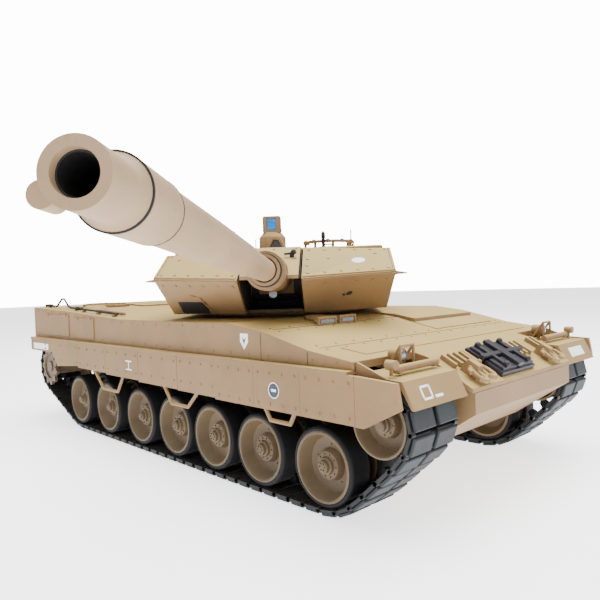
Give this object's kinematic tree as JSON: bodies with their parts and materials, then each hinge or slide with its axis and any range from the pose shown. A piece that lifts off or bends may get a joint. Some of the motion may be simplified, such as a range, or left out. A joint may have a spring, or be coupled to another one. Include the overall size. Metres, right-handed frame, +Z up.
{
  "type": "radio controlled tank model",
  "caption": "Sand-coloured radio-controlled scale model of a main battle tank with a turning wedge-fronted turret, elevating long gun, sprung road wheels and link tracks",
  "frame": {"origin": "the flat hull floor, straight under the turret axis", "axes": "the front faces -Y, +X is the tank's own left, +Z is up"},
  "size_m": [0.4562, 0.5455, 0.1875],
  "materials": {
    "sand_plastic": "matt sand paint on moulded plastic",
    "track_metal": "dark grey track links",
    "wheel_sand": "matt sand wheel with black rubber tyre",
    "dark_plastic": "black plastic",
    "spare_grey": "dark grey plastic",
    "lamp_clear": "clear lamp lens in a sand cup",
    "circuit_green": "green circuit board",
    "battery_wrap": "shrink wrap",
    "steel": "zinc plated steel"
  },
  "bodies": {
    "hull": {"lower_hull": "sand_plastic", "upper_hull": "sand_plastic", "side_skirts": "sand_plastic", "front_mudguards": "sand_plastic", "hull_fittings": "sand_plastic", "spare_track_links": "spare_grey", "headlights": "lamp_clear", "track_right": "track_metal", "track_left": "track_metal", "return_rollers": "sand_plastic", "tow_cable": "dark_plastic", "drive_units": "dark_plastic", "electronics": "circuit_green", "battery_pack": "battery_wrap", "battery_cover": "dark_plastic", "hull_screws": "steel"},
    "sprocket_right": {"sprocket_right": "sand_plastic"},
    "idler_right": {"idler_right": "sand_plastic"},
    "swing_arm_right_1": {"swing_arm_right_1": "sand_plastic"},
    "road_wheel_right_1": {"road_wheel_right_1": "wheel_sand"},
    "swing_arm_right_2": {"swing_arm_right_2": "sand_plastic"},
    "road_wheel_right_2": {"road_wheel_right_2": "wheel_sand"},
    "swing_arm_right_3": {"swing_arm_right_3": "sand_plastic"},
    "road_wheel_right_3": {"road_wheel_right_3": "wheel_sand"},
    "swing_arm_right_4": {"swing_arm_right_4": "sand_plastic"},
    "road_wheel_right_4": {"road_wheel_right_4": "wheel_sand"},
    "swing_arm_right_5": {"swing_arm_right_5": "sand_plastic"},
    "road_wheel_right_5": {"road_wheel_right_5": "wheel_sand"},
    "swing_arm_right_6": {"swing_arm_right_6": "sand_plastic"},
    "road_wheel_right_6": {"road_wheel_right_6": "wheel_sand"},
    "swing_arm_right_7": {"swing_arm_right_7": "sand_plastic"},
    "road_wheel_right_7": {"road_wheel_right_7": "wheel_sand"},
    "sprocket_left": {"sprocket_left": "sand_plastic"},
    "idler_left": {"idler_left": "sand_plastic"},
    "swing_arm_left_1": {"swing_arm_left_1": "sand_plastic"},
    "road_wheel_left_1": {"road_wheel_left_1": "wheel_sand"},
    "swing_arm_left_2": {"swing_arm_left_2": "sand_plastic"},
    "road_wheel_left_2": {"road_wheel_left_2": "wheel_sand"},
    "swing_arm_left_3": {"swing_arm_left_3": "sand_plastic"},
    "road_wheel_left_3": {"road_wheel_left_3": "wheel_sand"},
    "swing_arm_left_4": {"swing_arm_left_4": "sand_plastic"},
    "road_wheel_left_4": {"road_wheel_left_4": "wheel_sand"},
    "swing_arm_left_5": {"swing_arm_left_5": "sand_plastic"},
    "road_wheel_left_5": {"road_wheel_left_5": "wheel_sand"},
    "swing_arm_left_6": {"swing_arm_left_6": "sand_plastic"},
    "road_wheel_left_6": {"road_wheel_left_6": "wheel_sand"},
    "swing_arm_left_7": {"swing_arm_left_7": "sand_plastic"},
    "road_wheel_left_7": {"road_wheel_left_7": "wheel_sand"},
    "turret": {"turret_shell": "sand_plastic", "wedge_armour": "sand_plastic", "turret_ring": "sand_plastic", "turret_fittings": "sand_plastic"},
    "mantlet": {"mantlet": "sand_plastic"},
    "gun_barrel": {"gun_barrel": "sand_plastic"},
    "commander_hatch": {"commander_hatch": "sand_plastic"},
    "loader_hatch": {"loader_hatch": "sand_plastic"},
    "peri_sight": {"peri_sight": "sand_plastic"},
    "machine_gun": {"machine_gun": "dark_plastic"},
    "driver_hatch": {"driver_hatch": "sand_plastic"},
    "power_switch": {"power_switch": "dark_plastic"}
  },
  "joints": [
    {"name": "sprocket_right_spin", "type": "hinge", "parent": "hull", "child": "sprocket_right", "pos_m": [-0.1, 0.239, 0.021], "axis": [1, 0, 0], "continuous": true},
    {"name": "idler_right_spin", "type": "hinge", "parent": "hull", "child": "idler_right", "pos_m": [-0.1, -0.1806, 0.0242], "axis": [1, 0, 0], "continuous": true},
    {"name": "arm_right_1_swing", "type": "hinge", "parent": "hull", "child": "swing_arm_right_1", "pos_m": [-0.062, -0.165, 0.005], "axis": [1, 0, 0], "range_deg": [0, 12], "stiffness_Nm_per_rad": 0.02},
    {"name": "wheel_right_1_spin", "type": "hinge", "parent": "swing_arm_right_1", "child": "road_wheel_right_1", "pos_m": [-0.1, -0.141, -0.004], "axis": [1, 0, 0], "continuous": true},
    {"name": "arm_right_2_swing", "type": "hinge", "parent": "hull", "child": "swing_arm_right_2", "pos_m": [-0.062, -0.1128, 0.005], "axis": [1, 0, 0], "range_deg": [0, 12], "stiffness_Nm_per_rad": 0.02},
    {"name": "wheel_right_2_spin", "type": "hinge", "parent": "swing_arm_right_2", "child": "road_wheel_right_2", "pos_m": [-0.1, -0.0888, -0.004], "axis": [1, 0, 0], "continuous": true},
    {"name": "arm_right_3_swing", "type": "hinge", "parent": "hull", "child": "swing_arm_right_3", "pos_m": [-0.062, -0.0645, 0.005], "axis": [1, 0, 0], "range_deg": [0, 12], "stiffness_Nm_per_rad": 0.02},
    {"name": "wheel_right_3_spin", "type": "hinge", "parent": "swing_arm_right_3", "child": "road_wheel_right_3", "pos_m": [-0.1, -0.0405, -0.004], "axis": [1, 0, 0], "continuous": true},
    {"name": "arm_right_4_swing", "type": "hinge", "parent": "hull", "child": "swing_arm_right_4", "pos_m": [-0.062, -0.0174, 0.005], "axis": [1, 0, 0], "range_deg": [0, 12], "stiffness_Nm_per_rad": 0.02},
    {"name": "wheel_right_4_spin", "type": "hinge", "parent": "swing_arm_right_4", "child": "road_wheel_right_4", "pos_m": [-0.1, 0.0066, -0.004], "axis": [1, 0, 0], "continuous": true},
    {"name": "arm_right_5_swing", "type": "hinge", "parent": "hull", "child": "swing_arm_right_5", "pos_m": [-0.062, 0.0322, 0.005], "axis": [1, 0, 0], "range_deg": [0, 12], "stiffness_Nm_per_rad": 0.02},
    {"name": "wheel_right_5_spin", "type": "hinge", "parent": "swing_arm_right_5", "child": "road_wheel_right_5", "pos_m": [-0.1, 0.0562, -0.004], "axis": [1, 0, 0], "continuous": true},
    {"name": "arm_right_6_swing", "type": "hinge", "parent": "hull", "child": "swing_arm_right_6", "pos_m": [-0.062, 0.088, 0.005], "axis": [1, 0, 0], "range_deg": [0, 12], "stiffness_Nm_per_rad": 0.02},
    {"name": "wheel_right_6_spin", "type": "hinge", "parent": "swing_arm_right_6", "child": "road_wheel_right_6", "pos_m": [-0.1, 0.112, -0.004], "axis": [1, 0, 0], "continuous": true},
    {"name": "arm_right_7_swing", "type": "hinge", "parent": "hull", "child": "swing_arm_right_7", "pos_m": [-0.062, 0.144, 0.005], "axis": [1, 0, 0], "range_deg": [0, 12], "stiffness_Nm_per_rad": 0.02},
    {"name": "wheel_right_7_spin", "type": "hinge", "parent": "swing_arm_right_7", "child": "road_wheel_right_7", "pos_m": [-0.1, 0.168, -0.004], "axis": [1, 0, 0], "continuous": true},
    {"name": "sprocket_left_spin", "type": "hinge", "parent": "hull", "child": "sprocket_left", "pos_m": [0.1, 0.239, 0.021], "axis": [1, 0, 0], "continuous": true},
    {"name": "idler_left_spin", "type": "hinge", "parent": "hull", "child": "idler_left", "pos_m": [0.1, -0.1806, 0.0242], "axis": [1, 0, 0], "continuous": true},
    {"name": "arm_left_1_swing", "type": "hinge", "parent": "hull", "child": "swing_arm_left_1", "pos_m": [0.062, -0.165, 0.005], "axis": [1, 0, 0], "range_deg": [0, 12], "stiffness_Nm_per_rad": 0.02},
    {"name": "wheel_left_1_spin", "type": "hinge", "parent": "swing_arm_left_1", "child": "road_wheel_left_1", "pos_m": [0.1, -0.141, -0.004], "axis": [1, 0, 0], "continuous": true},
    {"name": "arm_left_2_swing", "type": "hinge", "parent": "hull", "child": "swing_arm_left_2", "pos_m": [0.062, -0.1128, 0.005], "axis": [1, 0, 0], "range_deg": [0, 12], "stiffness_Nm_per_rad": 0.02},
    {"name": "wheel_left_2_spin", "type": "hinge", "parent": "swing_arm_left_2", "child": "road_wheel_left_2", "pos_m": [0.1, -0.0888, -0.004], "axis": [1, 0, 0], "continuous": true},
    {"name": "arm_left_3_swing", "type": "hinge", "parent": "hull", "child": "swing_arm_left_3", "pos_m": [0.062, -0.0645, 0.005], "axis": [1, 0, 0], "range_deg": [0, 12], "stiffness_Nm_per_rad": 0.02},
    {"name": "wheel_left_3_spin", "type": "hinge", "parent": "swing_arm_left_3", "child": "road_wheel_left_3", "pos_m": [0.1, -0.0405, -0.004], "axis": [1, 0, 0], "continuous": true},
    {"name": "arm_left_4_swing", "type": "hinge", "parent": "hull", "child": "swing_arm_left_4", "pos_m": [0.062, -0.0174, 0.005], "axis": [1, 0, 0], "range_deg": [0, 12], "stiffness_Nm_per_rad": 0.02},
    {"name": "wheel_left_4_spin", "type": "hinge", "parent": "swing_arm_left_4", "child": "road_wheel_left_4", "pos_m": [0.1, 0.0066, -0.004], "axis": [1, 0, 0], "continuous": true},
    {"name": "arm_left_5_swing", "type": "hinge", "parent": "hull", "child": "swing_arm_left_5", "pos_m": [0.062, 0.0322, 0.005], "axis": [1, 0, 0], "range_deg": [0, 12], "stiffness_Nm_per_rad": 0.02},
    {"name": "wheel_left_5_spin", "type": "hinge", "parent": "swing_arm_left_5", "child": "road_wheel_left_5", "pos_m": [0.1, 0.0562, -0.004], "axis": [1, 0, 0], "continuous": true},
    {"name": "arm_left_6_swing", "type": "hinge", "parent": "hull", "child": "swing_arm_left_6", "pos_m": [0.062, 0.088, 0.005], "axis": [1, 0, 0], "range_deg": [0, 12], "stiffness_Nm_per_rad": 0.02},
    {"name": "wheel_left_6_spin", "type": "hinge", "parent": "swing_arm_left_6", "child": "road_wheel_left_6", "pos_m": [0.1, 0.112, -0.004], "axis": [1, 0, 0], "continuous": true},
    {"name": "arm_left_7_swing", "type": "hinge", "parent": "hull", "child": "swing_arm_left_7", "pos_m": [0.062, 0.144, 0.005], "axis": [1, 0, 0], "range_deg": [0, 12], "stiffness_Nm_per_rad": 0.02},
    {"name": "wheel_left_7_spin", "type": "hinge", "parent": "swing_arm_left_7", "child": "road_wheel_left_7", "pos_m": [0.1, 0.168, -0.004], "axis": [1, 0, 0], "continuous": true},
    {"name": "turret_turn", "type": "hinge", "parent": "hull", "child": "turret", "pos_m": [0, 0, 0.072], "axis": [0, 0, 1], "continuous": true},
    {"name": "gun_elevate", "type": "hinge", "parent": "turret", "child": "mantlet", "pos_m": [-0.04352, -0.0413, 0.1005], "axis": [-0.6884, 0.7254, 0], "range_deg": [-4.5, 15]},
    {"name": "gun_recoil", "type": "slide", "parent": "mantlet", "child": "gun_barrel", "axis": [0.725, 0.688, -0.0314], "range_m": [0, 0.01], "stiffness_N_per_m": 200},
    {"name": "commander_hatch_open", "type": "hinge", "parent": "turret", "child": "commander_hatch", "pos_m": [-0.0244, 0.04605, 0.125], "axis": [-0.7254, -0.6884, 0], "range_deg": [0, 90]},
    {"name": "loader_hatch_open", "type": "hinge", "parent": "turret", "child": "loader_hatch", "pos_m": [0.04734, -0.00746, 0.125], "axis": [-0.6884, 0.7254, 0], "range_deg": [0, 85]},
    {"name": "sight_turn", "type": "hinge", "parent": "turret", "child": "peri_sight", "pos_m": [0.02075, 0.03624, 0.1235], "axis": [0, 0, 1], "continuous": true},
    {"name": "machine_gun_turn", "type": "hinge", "parent": "turret", "child": "machine_gun", "pos_m": [0.01579, -0.03189, 0.1235], "axis": [0, 0, 1], "range_deg": [-60, 60]},
    {"name": "driver_hatch_swing", "type": "hinge", "parent": "hull", "child": "driver_hatch", "pos_m": [-0.06, -0.097, 0.06897], "axis": [0, -0.1253, 0.9921], "range_deg": [0, 110]},
    {"name": "power_switch_slide", "type": "slide", "parent": "hull", "child": "power_switch", "axis": [1, 0, 0], "range_m": [-0.0025, 0.0025]}
  ],
  "couplings": [
    {"joint": "idler_right_spin", "follows": "sprocket_right_spin", "ratio": 1.1374},
    {"joint": "wheel_right_1_spin", "follows": "sprocket_right_spin", "ratio": 0.8723},
    {"joint": "wheel_right_2_spin", "follows": "sprocket_right_spin", "ratio": 0.8723},
    {"joint": "wheel_right_3_spin", "follows": "sprocket_right_spin", "ratio": 0.8723},
    {"joint": "wheel_right_4_spin", "follows": "sprocket_right_spin", "ratio": 0.8723},
    {"joint": "wheel_right_5_spin", "follows": "sprocket_right_spin", "ratio": 0.8723},
    {"joint": "wheel_right_6_spin", "follows": "sprocket_right_spin", "ratio": 0.8723},
    {"joint": "wheel_right_7_spin", "follows": "sprocket_right_spin", "ratio": 0.8723},
    {"joint": "idler_left_spin", "follows": "sprocket_left_spin", "ratio": 1.1374},
    {"joint": "wheel_left_1_spin", "follows": "sprocket_left_spin", "ratio": 0.8723},
    {"joint": "wheel_left_2_spin", "follows": "sprocket_left_spin", "ratio": 0.8723},
    {"joint": "wheel_left_3_spin", "follows": "sprocket_left_spin", "ratio": 0.8723},
    {"joint": "wheel_left_4_spin", "follows": "sprocket_left_spin", "ratio": 0.8723},
    {"joint": "wheel_left_5_spin", "follows": "sprocket_left_spin", "ratio": 0.8723},
    {"joint": "wheel_left_6_spin", "follows": "sprocket_left_spin", "ratio": 0.8723},
    {"joint": "wheel_left_7_spin", "follows": "sprocket_left_spin", "ratio": 0.8723}
  ]
}
